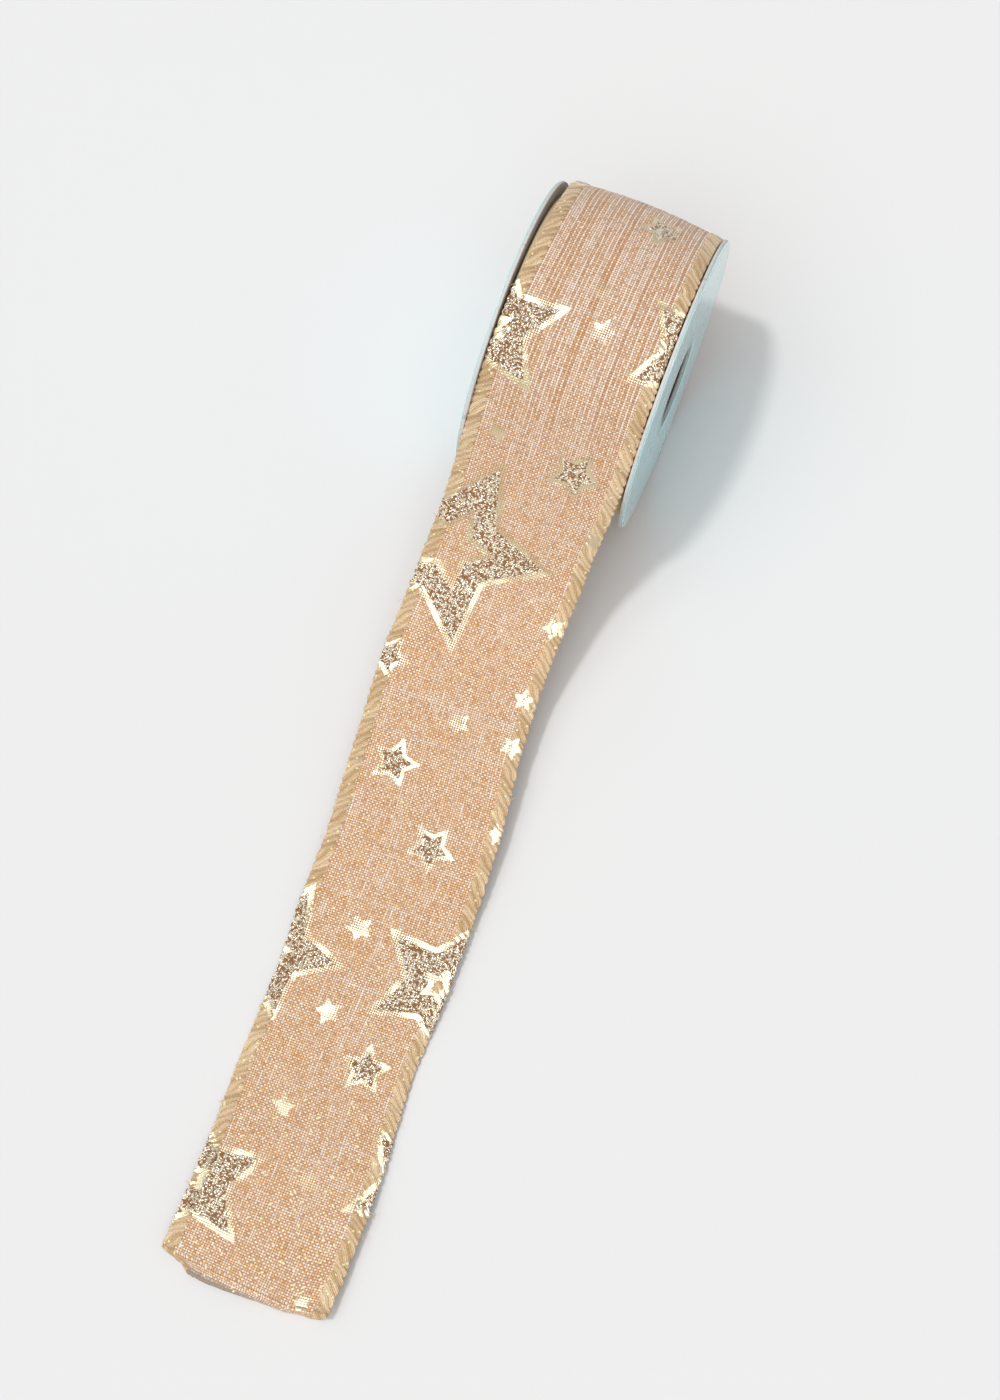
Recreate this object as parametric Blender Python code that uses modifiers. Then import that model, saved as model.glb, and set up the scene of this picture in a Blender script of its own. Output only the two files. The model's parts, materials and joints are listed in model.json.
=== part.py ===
"""Ribbon spool: a card spool with a wound wired-edge ribbon, its outermost turn and its pulled-out end.

The spool stands on its two flange rims with its axis along X, and the free end runs towards -Y.
The origin is on the table, under the middle of the whole object. Units are metres.
"""

from math import cos, pi, radians, sin

import bmesh
import bpy
from mathutils import Vector
from mathutils.geometry import interpolate_bezier

# Card spool
FLANGE_R = 0.0360
FLANGE_T = 0.0008
FLANGE_SPACING = 0.0400  # between the flanges' inner faces
HOLE_R = 0.0102
FACING_T = 0.0002
FACING_INSET = 0.0002
CORE_INNER_R = 0.0108
CORE_WALL = 0.0015
GLUE_R = 0.0009
TAPE_WIDTH = 0.0190
TAPE_ARC = radians(70)
TAPE_T = 0.00015

# Ribbon
CLOTH_T = 0.00040
CLOTH_HALF = 0.01850
EDGE_INNER = 0.01660
EDGE_OUTER = 0.01955
EDGE_LIFT = 0.00050
EDGE_T = 0.00025
WIRE_AT = 0.01898
WIRE_R = 0.000175

# Wound turns
WOUND_INNER_R = 0.0142
WOUND_OUTER_R = 0.0332
WOUND_STEP = 0.0003  # the cloth between the edges lies this much lower

# Outermost turn: angles from the top of the roll, positive towards the free end
TURN_R = 0.0342
TURN_SLACK = 0.0012
TURN_START = radians(-178)
TURN_END = radians(50)

# Free end, as (distance in front of the axis, height, shift sideways)
TAIL_POINTS = (
    (0.0400, 0.0396, -0.0003),
    (0.0550, 0.0227, -0.0010),
    (0.0750, 0.0132, -0.0013),
    (0.1000, 0.0086, 0.0000),
    (0.1300, 0.0044, 0.0018),
    (0.1650, 0.0013, 0.0032),
    (0.1980, 0.0024, 0.0043),
    (0.2265, 0.0042, 0.0050),
)
FOLD_1 = 0.0880  # distances of the two places where the free end bends up
FOLD_2 = 0.1580
HEM_HEIGHT = 0.0008
HEM_LENGTH = 0.0150
HEM_SHIFT = 0.0012

GAP = 0.0003
GLUE_GAP = 0.0001
FOLD_GAP = 0.0012

SIDES = 72
RING_SIDES = 60
TURN_STATIONS = 31
FINE = 24  # samples between two points of the free end

HALF_WIDTH = EDGE_OUTER + EDGE_T / 2
SPOOL_HALF = FLANGE_SPACING / 2 + FLANGE_T + GLUE_GAP + FACING_T
HEM_R = (TAIL_POINTS[-1][1] - HEM_HEIGHT) / 2
REACH = TAIL_POINTS[-1][0] + HEM_R + EDGE_LIFT + EDGE_T / 2
AXIS_X = (SPOOL_HALF - TAIL_POINTS[-1][2] - HEM_SHIFT - HALF_WIDTH) / 2
AXIS_Y = (REACH - FLANGE_R) / 2
AXIS = Vector((AXIS_X, AXIS_Y, FLANGE_R))

SIDE_NAMES = (("left", -1), ("right", 1))


def clear_scene():
    for obj in list(bpy.data.objects):
        bpy.data.objects.remove(obj)


def material(name, colour, roughness, metallic=0.0):
    made = bpy.data.materials.new(name)
    made.use_nodes = True
    shader = made.node_tree.nodes["Principled BSDF"]
    shader.inputs["Base Color"].default_value = (*colour, 1)
    shader.inputs["Roughness"].default_value = roughness
    shader.inputs["Metallic"].default_value = metallic
    return made


def add(name, data, finish, parts):
    obj = bpy.data.objects.new(name, data)
    data.materials.append(finish)
    parts.objects.link(obj)
    return obj


def turned(name, profile, sides, finish, parts):
    """A ring about the spool's axis. The profile is (x, radius) pairs, anticlockwise with x to the right."""
    shape = bmesh.new()
    points = [shape.verts.new((x, 0, radius)) for x, radius in profile]
    for a, b in zip(points, points[1:] + points[:1]):
        shape.edges.new((a, b))
    mesh = bpy.data.meshes.new(name)
    shape.to_mesh(mesh)
    shape.free()
    obj = add(name, mesh, finish, parts)
    obj.location = AXIS
    screw = obj.modifiers.new("Turn", "SCREW")
    screw.axis = "X"
    screw.steps = sides
    screw.render_steps = sides
    screw.use_merge_vertices = True
    screw.merge_threshold = 0.00001
    screw.use_smooth_shade = False
    return obj


def ring(name, x_low, x_high, r_low, r_high, sides, finish, parts):
    profile = [(x_low, r_low), (x_high, r_low), (x_high, r_high), (x_low, r_high)]
    return turned(name, profile, sides, finish, parts)


def turn_point(angle):
    """The middle of the outermost turn, which stands loosest at the upper back."""
    share = (angle - TURN_START) / (TURN_END - TURN_START)
    radius = TURN_R + TURN_SLACK * sin(pi * share)
    return Vector((0, -radius * sin(angle), radius * cos(angle))) + AXIS


def tail_curve(start, start_direction):
    """The free end's smooth middle line, from where it leaves the roll to its fold."""
    points = [start] + [Vector((AXIS_X + side, AXIS_Y - out, up)) for out, up, side in TAIL_POINTS]
    directions = [start_direction]
    for before, here, after in zip(points, points[1:], points[2:]):
        directions.append(((here - before).normalized() + (after - here).normalized()).normalized())
    directions.append((points[-1] - points[-2]).normalized())
    line = [start]
    for a, b, da, db in zip(points, points[1:], directions, directions[1:]):
        reach = (b - a).length / 3
        line += interpolate_bezier(a, a + da * reach, b - db * reach, b, FINE)[1:]
    return line


def hem_curve(end):
    """The rounded fold and the short flap that lies turned under the end."""
    centre = end - Vector((0, 0, HEM_R))
    steps = 7
    arc = [
        centre + Vector((HEM_SHIFT * i / steps, -HEM_R * sin(pi * i / steps), HEM_R * cos(pi * i / steps)))
        for i in range(steps + 1)
    ]
    last = arc[-1]
    return arc + [last + Vector((0, HEM_LENGTH * i / 3, 0)) for i in range(1, 4)]


def trimmed(line, start, end, step):
    """Points of a line between two distances in front of the axis, about a step apart, with exact ends."""

    def at(distance):
        y = AXIS_Y - distance
        for a, b in zip(line, line[1:]):
            if a.y >= y >= b.y:
                return a.lerp(b, (a.y - y) / (a.y - b.y))
        return line[-1].copy()

    count = max(2, round((end - start) / step))
    return [at(start + (end - start) * i / count) for i in range(count + 1)]


def out_of(points, i):
    """The unit direction square to the line, on the printed side."""
    along = points[min(i + 1, len(points) - 1)] - points[max(i - 1, 0)]
    return Vector((0, along.z, -along.y)).normalized()


def strip(name, points, section, thickness, finish, parts):
    """A sheet whose cross-section, as (sideways, outwards) pairs, follows the line, thickened with Solidify."""
    rows, columns = len(points), len(section)
    shape = bmesh.new()
    bmesh.ops.create_grid(shape, x_segments=rows - 1, y_segments=columns - 1, size=0.5)
    for vert in shape.verts:
        i = round((vert.co.x + 0.5) * (rows - 1))
        j = round((vert.co.y + 0.5) * (columns - 1))
        across, lift = section[j]
        vert.co = points[i] + Vector((across, 0, 0)) + out_of(points, i) * lift
    mesh = bpy.data.meshes.new(name)
    shape.to_mesh(mesh)
    shape.free()
    obj = add(name, mesh, finish, parts)
    solid = obj.modifiers.new("Thickness", "SOLIDIFY")
    solid.thickness = thickness
    solid.offset = 0
    solid.use_even_offset = True
    return obj


def wire(name, points, across, finish, parts):
    data = bpy.data.curves.new(name, "CURVE")
    data.dimensions = "3D"
    data.bevel_depth = WIRE_R
    data.bevel_resolution = 1
    data.use_fill_caps = True
    spline = data.splines.new("POLY")
    spline.points.add(len(points) - 1)
    for point, place in zip(spline.points, points):
        point.co = (place.x + across, place.y, place.z, 1)
    return add(name, data, finish, parts)


def ribbon_length(prefix, points, finishes, parts):
    """One length of ribbon: its cloth, its two stitched edges and the wire inside each."""
    cloth = [(-CLOTH_HALF, 0), (CLOTH_HALF, 0)]
    strip(f"{prefix}_cloth", points, cloth, CLOTH_T, finishes["cloth"], parts)
    for side, sign in SIDE_NAMES:
        section = [
            (sign * EDGE_INNER, EDGE_LIFT),
            (sign * EDGE_OUTER, EDGE_LIFT),
            (sign * EDGE_OUTER, -EDGE_LIFT),
            (sign * EDGE_INNER, -EDGE_LIFT),
        ]
        strip(f"{prefix}_edge_{side}", points, section, EDGE_T, finishes["edge"], parts)
        wire(f"{prefix}_wire_{side}", points, sign * WIRE_AT, finishes["wire"], parts)


def card_spool(finishes, parts):
    half = FLANGE_SPACING / 2
    core_half = half - GAP
    core_outer = CORE_INNER_R + CORE_WALL
    ring("core_tube", -core_half, core_half, CORE_INNER_R, core_outer, RING_SIDES, finishes["board"], parts)
    for side, sign in SIDE_NAMES:
        board = sorted((sign * half, sign * (half + FLANGE_T)))
        ring(f"flange_board_{side}", *board, HOLE_R, FLANGE_R, SIDES, finishes["board"], parts)
        near = half + FLANGE_T + GLUE_GAP
        facing = sorted((sign * near, sign * (near + FACING_T)))
        outer = FLANGE_R - FACING_INSET
        ring(f"flange_facing_{side}", *facing, HOLE_R, outer, SIDES, finishes["facing"], parts)
        glue_ring(f"glue_ring_{side}", sign, core_outer + GLUE_GAP, half - GLUE_GAP, finishes["glue"], parts)
    start_tape(core_outer + GLUE_GAP, finishes["tape"], parts)


def glue_ring(name, sign, radius, face, finish, parts):
    """The bead of glue in the corner between the core and a flange, a triangle in section."""
    profile = [(sign * face, radius), (sign * face, radius + GLUE_R), (sign * (face - GLUE_R), radius)]
    if sign < 0:
        profile.reverse()
    turned(name, profile, RING_SIDES, finish, parts)


def start_tape(radius, finish, parts):
    """The strip of tape that holds the ribbon's inner end to the core."""
    steps = 7
    middle = radius + TAPE_T / 2
    angles = [TAPE_ARC * (i / steps - 0.5) for i in range(steps + 1)]
    points = [AXIS + Vector((0, -middle * sin(a), middle * cos(a))) for a in angles]
    strip("start_tape", points, [(-TAPE_WIDTH / 2, 0), (TAPE_WIDTH / 2, 0)], TAPE_T, finish, parts)


def wound_turns(finishes, parts):
    """The turns still on the core: the cloth between, and the stack of stitched edges at each side."""
    cloth_half = EDGE_INNER - GAP
    cloth = (-cloth_half, cloth_half, WOUND_INNER_R, WOUND_OUTER_R - WOUND_STEP)
    ring("wound_cloth", *cloth, RING_SIDES, finishes["cloth"], parts)
    for side, sign in SIDE_NAMES:
        ends = sorted((sign * EDGE_INNER, sign * HALF_WIDTH))
        edge = (*ends, WOUND_INNER_R, WOUND_OUTER_R)
        ring(f"wound_edge_{side}", *edge, RING_SIDES, finishes["edge"], parts)


def outer_ribbon(finishes, parts):
    last = TURN_STATIONS - 1
    angles = [TURN_START + (TURN_END - TURN_START) * i / last for i in range(TURN_STATIONS)]
    turn = [turn_point(angle) for angle in angles]
    line = tail_curve(turn[-1], (turn[-1] - turn[-2]).normalized())
    leaves = AXIS_Y - turn[-1].y
    half_gap = FOLD_GAP / 2
    slope = trimmed(line, leaves, FOLD_1 - half_gap, 0.005)
    ribbon_length("outer_turn", turn + slope[1:], finishes, parts)
    ribbon_length("tail_middle", trimmed(line, FOLD_1 + half_gap, FOLD_2 - half_gap, 0.009), finishes, parts)
    tip_end = TAIL_POINTS[-1][0] - GAP
    ribbon_length("tail_tip", trimmed(line, FOLD_2 + half_gap, tip_end, 0.009), finishes, parts)
    ribbon_length("hem", hem_curve(line[-1]), finishes, parts)


def main():
    clear_scene()
    parts = bpy.data.collections.new("ribbon_spool")
    bpy.context.scene.collection.children.link(parts)
    finishes = {
        "board": material("grey_board", (0.62, 0.60, 0.57), 0.85),
        "facing": material("mint_facing", (0.50, 0.72, 0.75), 0.30),
        "glue": material("glue", (0.80, 0.76, 0.62), 0.45),
        "tape": material("tape", (0.75, 0.68, 0.48), 0.35),
        "cloth": material("woven_cloth", (0.78, 0.50, 0.28), 0.80),
        "edge": material("stitched_edge", (0.72, 0.50, 0.26), 0.85),
        "wire": material("edge_wire", (0.70, 0.66, 0.58), 0.35, 1.0),
    }
    card_spool(finishes, parts)
    wound_turns(finishes, parts)
    outer_ribbon(finishes, parts)


main()
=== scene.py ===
"""A ribbon spool: star-printed wired ribbon wound on a card spool, its free end pulled out in front.

Lengths are in metres unless a name or comment says mm. On the ribbon, s runs along its length: 0 where
it leaves the roll, negative round the roll and positive towards the free end. u runs across it, with 0
on its middle line, and lift is the height above the cloth's middle, on the printed side.
"""

import json
from math import cos, pi, radians, sin, tau

import bmesh
import bpy
import numpy as np
from mathutils import Matrix, Vector


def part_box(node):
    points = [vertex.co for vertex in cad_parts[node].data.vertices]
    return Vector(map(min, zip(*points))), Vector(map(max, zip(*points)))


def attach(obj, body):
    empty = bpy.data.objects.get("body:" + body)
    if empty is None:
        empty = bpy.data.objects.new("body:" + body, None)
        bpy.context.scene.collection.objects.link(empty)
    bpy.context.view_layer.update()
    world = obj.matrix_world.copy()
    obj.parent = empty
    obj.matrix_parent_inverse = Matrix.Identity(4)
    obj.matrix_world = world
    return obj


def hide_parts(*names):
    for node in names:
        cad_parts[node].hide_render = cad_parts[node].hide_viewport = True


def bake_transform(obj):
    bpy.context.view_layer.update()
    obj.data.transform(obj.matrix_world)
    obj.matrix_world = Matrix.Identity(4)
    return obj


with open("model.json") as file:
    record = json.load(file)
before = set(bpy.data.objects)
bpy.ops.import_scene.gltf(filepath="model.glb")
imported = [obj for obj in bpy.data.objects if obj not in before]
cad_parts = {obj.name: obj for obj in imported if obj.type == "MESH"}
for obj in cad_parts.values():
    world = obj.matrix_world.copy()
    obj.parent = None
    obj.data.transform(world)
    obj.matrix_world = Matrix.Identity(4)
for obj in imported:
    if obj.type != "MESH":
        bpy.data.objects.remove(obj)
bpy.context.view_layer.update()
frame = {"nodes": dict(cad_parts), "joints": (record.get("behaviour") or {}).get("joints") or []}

MM = 0.001

# ---------------------------------------------------------------- places taken from the frame

flange_low, flange_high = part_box("flange_board_left")
FLANGE_R = (flange_high[2] - flange_low[2]) / 2
turn_joint = next(joint for joint in frame["joints"] if joint["name"] == "spool_turn")
AXIS = np.array(turn_joint["pos_m"])
FLANGE_T = flange_high[0] - flange_low[0]
FLANGE_INNER = AXIS[0] - flange_high[0]
HOLE_R = 0.0102
CORE_R = 0.0108
CORE_WALL = 0.0015

# ---------------------------------------------------------------- the ribbon's route

TURN_R = 0.0342
TURN_SLACK = 0.0012
TURN_START = radians(-178)
TURN_END = radians(50)
TAIL_POINTS = (  # (distance in front of the axis, height, shift sideways)
    (0.0400, 0.0396, -0.0003),
    (0.0550, 0.0227, -0.0010),
    (0.0750, 0.0132, -0.0013),
    (0.1000, 0.0086, 0.0000),
    (0.1300, 0.0044, 0.0018),
    (0.1650, 0.0013, 0.0032),
    (0.1980, 0.0024, 0.0043),
    (0.2265, 0.0042, 0.0050),
)
FOLD_1 = 0.0880
FOLD_2 = 0.1580
HEM_R = 0.0017
HEM_LENGTH = 0.0150
HEM_SHIFT = 0.0012
FOLD_LEAN = 0.0019  # how far the fold's foot stands in front of its top
FOLD_SIDE = 0.0016
LEFT_TUCK = 0.0040
RIGHT_TUCK = 0.0014
ARCH_HEIGHT = 0.0021
ARCH_S = -0.062
ARCH_SPREAD = 0.021
YAW_REACH = 0.012  # the ribbon's heading is taken over this much of its length, each way
WOUND_INNER_R = 0.0142
WOUND_OUTER_R = 0.0332

# ---------------------------------------------------------------- the ribbon itself, in mm

WARP = 0.575  # pitch of the threads that run along the ribbon
WEFT = 0.55  # pitch of the threads across it
CLOTH_HALF = 18.6
CLOTH_T = 0.34
EDGE_MIDDLE = 18.3
EDGE_HALF = 1.5
STITCH = 2.0  # pitch of the stitches over the edge
STITCH_SLANT = 0.75  # how far a stitch leans along the edge, as a share of the pitch
STRANDS = 4  # strands in a stitch's thread
HALF_WIDTH = 20.0
WIRE_AT = 18.95
WIRE_R = 0.175
LAYER = 1.1  # pitch of the wound turns
WOUND_CLOTH_HALF = 16.3
WOUND_EDGE_INNER = 16.45
WOUND_EDGE_OUTER = 19.45
CLOTH_STEP = 0.5  # distance between the cloth mesh's rows

FOIL_LINE = 1.35  # width of a star's foil outline
STAR_WAIST = 0.5  # a star's inner radius, as a share of its outer one

EDGES = (  # (s, u of the left edge, u of the right one): the wires hold the ribbon in slow waves; mm
    (-140, -19.3, 19.3),
    (-90, -19.0, 19.5),
    (-62, -17.9, 19.7),
    (-36, -18.2, 19.7),
    (-20, -19.3, 19.8),
    (-8, -19.8, 19.8),
    (5, -20.0, 19.9),
    (20, -19.9, 19.6),
    (34, -19.8, 18.8),
    (47, -20.3, 18.7),
    (58, -20.4, 18.5),
    (75, -20.9, 18.5),
    (88, -20.5, 18.8),
    (102, -20.1, 20.0),
    (117, -19.8, 20.4),
    (135, -20.3, 20.3),
    (150, -19.8, 20.0),
    (163, -20.0, 19.2),
    (175, -20.4, 19.6),
    (190, -20.1, 20.5),
    (205, -20.2, 20.7),
    (215, -20.5, 20.5),
    (221, -20.7, 20.2),
    (227, -20.0, 19.8),
    (245, -19.5, 19.5),
)

# ---------------------------------------------------------------- camera and lights

CAMERA_ELEVATION = radians(72.2)
CAMERA_YAW = radians(16.8)
CAMERA_ROLL = radians(4.9)
CAMERA_DISTANCE = 0.607
CAMERA_AIM = (0.0075, -0.0775)  # from the spot under the middle of the spool
CAMERA_LENS = 64.3
SUN_FROM = (-0.28, -0.16, 1.0)
SUN_STRENGTH = 0.95
SUN_ANGLE = radians(5.0)
SOFTBOX_FROM = (-0.12, -0.36, 0.93)
SOFTBOX_LIGHT = 2.30
SOFTBOX_EDGE = (0.78, 0.94)  # where the softbox's light starts and is full, as cosines from its middle
ROOM_LIGHT = 0.36
BACKDROP = 0.871


def make_camera():
    back = Vector((
        sin(CAMERA_YAW) * cos(CAMERA_ELEVATION),
        -cos(CAMERA_YAW) * cos(CAMERA_ELEVATION),
        sin(CAMERA_ELEVATION),
    ))
    right = Vector((cos(CAMERA_YAW), sin(CAMERA_YAW), 0))
    up = back.cross(right)
    across = right * cos(CAMERA_ROLL) + up * sin(CAMERA_ROLL)
    upright = up * cos(CAMERA_ROLL) - right * sin(CAMERA_ROLL)
    stand = Vector((AXIS[0] + CAMERA_AIM[0], AXIS[1] + CAMERA_AIM[1], 0)) + back * CAMERA_DISTANCE
    data = bpy.data.cameras.new("camera")
    data.lens = CAMERA_LENS
    data.sensor_width = 36
    data.clip_start = 0.01
    data.clip_end = 20
    camera = bpy.data.objects.new("camera", data)
    turned = Matrix((across, upright, back)).transposed().to_4x4()
    camera.matrix_world = Matrix.Translation(stand) @ turned
    bpy.context.scene.collection.objects.link(camera)
    bpy.context.scene.camera = camera


def make_lights():
    sun = bpy.data.lights.new("sun", "SUN")
    sun.energy = SUN_STRENGTH
    sun.angle = SUN_ANGLE
    lamp = bpy.data.objects.new("sun", sun)
    lamp.rotation_euler = Vector(SUN_FROM).to_track_quat("Z", "Y").to_euler()
    bpy.context.scene.collection.objects.link(lamp)
    world = bpy.data.worlds.new("studio")
    world.use_nodes = True
    bpy.context.scene.world = world
    nodes, links = world.node_tree.nodes, world.node_tree.links
    nodes.clear()
    sky = nodes.new("ShaderNodeTexCoord")
    toward = nodes.new("ShaderNodeVectorMath")
    toward.operation = "DOT_PRODUCT"
    toward.inputs[1].default_value = Vector(SOFTBOX_FROM).normalized()
    glow = nodes.new("ShaderNodeMapRange")
    glow.interpolation_type = "SMOOTHSTEP"
    for socket, value in zip(glow.inputs[1:], (*SOFTBOX_EDGE, ROOM_LIGHT, SOFTBOX_LIGHT)):
        socket.default_value = value
    path = nodes.new("ShaderNodeLightPath")
    seen = nodes.new("ShaderNodeMix")
    background = nodes.new("ShaderNodeBackground")
    output = nodes.new("ShaderNodeOutputWorld")
    seen.inputs[3].default_value = BACKDROP
    links.new(sky.outputs["Generated"], toward.inputs[0])
    links.new(toward.outputs["Value"], glow.inputs[0])
    links.new(path.outputs["Is Camera Ray"], seen.inputs[0])
    links.new(glow.outputs[0], seen.inputs[2])
    links.new(seen.outputs[0], background.inputs[0])
    links.new(background.outputs[0], output.inputs[0])


# ---------------------------------------------------------------- material nodes


class Nodes:
    """A short way to write a node material: each call adds a node and returns its output socket."""

    def __init__(self, name):
        self.material = bpy.data.materials.new(name)
        self.material.use_nodes = True
        self.tree = self.material.node_tree
        self.tree.nodes.clear()

    def put(self, socket, value):
        if isinstance(value, bpy.types.NodeSocket):
            self.tree.links.new(value, socket)
        elif isinstance(value, tuple) and len(socket.default_value) == 4:
            socket.default_value = (*value, 1)
        elif value is not None:
            socket.default_value = value

    def add(self, kind, settings=(), **inputs):
        node = self.tree.nodes.new("ShaderNode" + kind)
        for key, value in dict(settings).items():
            setattr(node, key, value)
        for key, value in inputs.items():
            self.put(node.inputs[key.replace("_", " ")], value)
        return node

    def math(self, operation, a, b=None, c=None):
        node = self.add("Math", {"operation": operation})
        for socket, value in zip(node.inputs, (a, b, c)):
            self.put(socket, value)
        return node.outputs[0]

    def plus(self, a, b):
        return self.math("ADD", a, b)

    def minus(self, a, b):
        return self.math("SUBTRACT", a, b)

    def times(self, a, b):
        return self.math("MULTIPLY", a, b)

    def scaled(self, a, factor, offset):
        return self.math("MULTIPLY_ADD", a, factor, offset)

    def mix(self, factor, a, b):
        node = self.add("Mix", {"data_type": "RGBA"})
        self.put(node.inputs[0], factor)
        self.put(node.inputs[6], a)
        self.put(node.inputs[7], b)
        return node.outputs[2]

    def blend(self, factor, a, b):
        node = self.add("Mix", {"data_type": "FLOAT"})
        self.put(node.inputs[0], factor)
        self.put(node.inputs[2], a)
        self.put(node.inputs[3], b)
        return node.outputs[0]

    def step(self, value, low, high, to_low=0.0, to_high=1.0):
        """0 below low, 1 above high, with a smooth rise between."""
        node = self.add("MapRange", {"interpolation_type": "SMOOTHSTEP"})
        for socket, given in zip(node.inputs, (value, low, high, to_low, to_high)):
            self.put(socket, given)
        return node.outputs[0]

    def attribute(self, name):
        return self.add("Attribute", {"attribute_name": name}).outputs["Fac"]

    def ribbon_uv(self):
        """(u, s) of the ribbon, in mm."""
        uv = self.add("SeparateXYZ", {}, Vector=self.add("UVMap", {"uv_map": "ribbon"}).outputs[0])
        return uv.outputs[0], uv.outputs[1]

    def join(self, x, y):
        return self.add("CombineXYZ", X=x, Y=y).outputs[0]

    def noise(self, vector, scale, detail=2.0, roughness=0.5):
        node = self.add("TexNoise", {}, Vector=vector, Scale=scale, Detail=detail, Roughness=roughness)
        return node.outputs["Fac"]

    def chance(self, value):
        node = self.add("TexWhiteNoise", {"noise_dimensions": "1D"}, W=value)
        return node.outputs["Value"]

    def bump(self, height, strength, distance):
        return self.add("Bump", {}, Height=height, Strength=strength, Distance=distance).outputs[0]

    def finish(self, **inputs):
        shader = self.add("BsdfPrincipled")
        for key, value in inputs.items():
            self.put(shader.inputs[key.replace("_", " ")], value)
        output = self.add("OutputMaterial")
        self.tree.links.new(shader.outputs[0], output.inputs[0])
        return self.material


ORANGE = (0.86, 0.47, 0.19)
PEACH = (1.0, 0.71, 0.40)
CREAM = (1.0, 0.98, 0.93)
SHADE = (0.47, 0.20, 0.06)
FOIL = (0.96, 0.81, 0.50)
FLAKE = (1.0, 0.89, 0.70)
# painted shade for the underside of the end's fold
FOLD_UNDERSIDE_SHADE = (0.30, 0.235, 0.19)
GLITTER_BED = (0.30, 0.14, 0.05)
SPECK_GLINT = (1.0, 0.92, 0.56)
STITCH_LIGHT = (0.94, 0.73, 0.48)
STITCH_DARK = (0.52, 0.32, 0.145)


def printed(n, u, s, colour, roughness, height, gaps):
    """The finish of a ground with foil and glitter on it, thin where the ground's threads part."""
    wear = n.noise(n.join(u, s), 1.9, 3.0)
    ragged = n.scaled(wear, 0.7, -0.35)
    foil = n.step(n.plus(n.attribute("foil"), ragged), -0.08, 0.12)
    thin = n.scaled(n.step(n.noise(n.join(u, s), 0.11, 1.0), 0.40, 0.58), 0.62, 0.0)
    foil = n.times(foil, n.step(n.minus(gaps, thin), 0.0, 0.2))
    bed = n.step(n.plus(n.attribute("glitter"), ragged), -0.25, 0.0)
    flakes = n.add("TexVoronoi", {"voronoi_dimensions": "2D"}, Vector=n.join(u, s), Scale=2.9)
    turn = n.add("SeparateColor", {}, Color=flakes.outputs["Color"])
    bits = n.add("TexVoronoi", {"voronoi_dimensions": "2D"}, Vector=n.join(u, s), Scale=1.45)
    own_bit = n.add("SeparateColor", {}, Color=bits.outputs["Color"]).outputs[0]
    fallen_glinting = n.math("GREATER_THAN", own_bit, n.attribute("plain"))
    fallen_glinting = n.times(fallen_glinting, n.math("LESS_THAN", bits.outputs["Distance"], 0.40))
    shows = n.times(bed, n.math("GREATER_THAN", turn.outputs[0], 0.45))
    metal = n.math("MAXIMUM", n.times(foil, 0.94), n.times(shows, 0.72))
    colour = n.mix(bed, colour, GLITTER_BED)
    colour = n.mix(foil, colour, FOIL)
    colour = n.mix(shows, colour, FLAKE)
    # painted glint: the fallen bits of glitter are pale bright dots in the base colour, not metal
    colour = n.mix(fallen_glinting, colour, SPECK_GLINT)
    roughness = n.blend(foil, roughness, 0.30)
    roughness = n.blend(n.math("MAXIMUM", shows, fallen_glinting), roughness, 0.20)
    height = n.times(height, n.scaled(foil, -0.55, 1.0))
    normal = n.bump(height, 0.8, 0.00018)
    tilt = n.add("VectorMath", {"operation": "SUBTRACT"})
    n.put(tilt.inputs[0], flakes.outputs["Color"])
    tilt.inputs[1].default_value = (0.5, 0.5, 0.5)
    lean = n.add("VectorMath", {"operation": "SCALE"})
    n.put(lean.inputs[0], tilt.outputs[0])
    n.put(lean.inputs["Scale"], n.times(shows, 0.5))
    leaning = n.add("VectorMath", {"operation": "ADD"})
    n.put(leaning.inputs[0], normal)
    n.put(leaning.inputs[1], lean.outputs[0])
    normal = n.add("VectorMath", {"operation": "NORMALIZE"})
    n.put(normal.inputs[0], leaning.outputs[0])
    return {
        "Base_Color": colour,
        "Metallic": metal,
        "Roughness": roughness,
        "Normal": normal.outputs[0],
        "Coat_Weight": n.times(foil, 0.9),
        "Coat_Roughness": 0.25,
        "Coat_IOR": 2.1,
    }


def weave(n, u, s):
    """A plain weave: each thread's number, which of the two lies on top, and how high it rises there."""
    drift_u = n.noise(n.join(n.times(u, 0.5), n.times(s, 0.16)), 1.0)
    drift_s = n.noise(n.join(n.times(u, 0.12), n.times(s, 0.4)), 1.0)
    across = n.math("DIVIDE", n.scaled(drift_u, 0.5, u), WARP)
    along = n.math("DIVIDE", n.scaled(drift_s, 0.5, s), WEFT)
    column, row = n.math("FLOOR", across), n.math("FLOOR", along)
    odd = n.math("FLOORED_MODULO", n.plus(column, row), 2.0)
    round_u = n.math("COSINE", n.times(n.minus(n.math("FRACT", across), 0.5), pi))
    round_s = n.math("COSINE", n.times(n.minus(n.math("FRACT", along), 0.5), pi))
    warp_up = n.times(round_u, n.scaled(round_s, 0.45, 0.55))
    weft_up = n.times(round_s, n.scaled(round_u, 0.6, 0.4))
    return column, row, odd, round_u, round_s, n.blend(odd, warp_up, weft_up)


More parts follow.
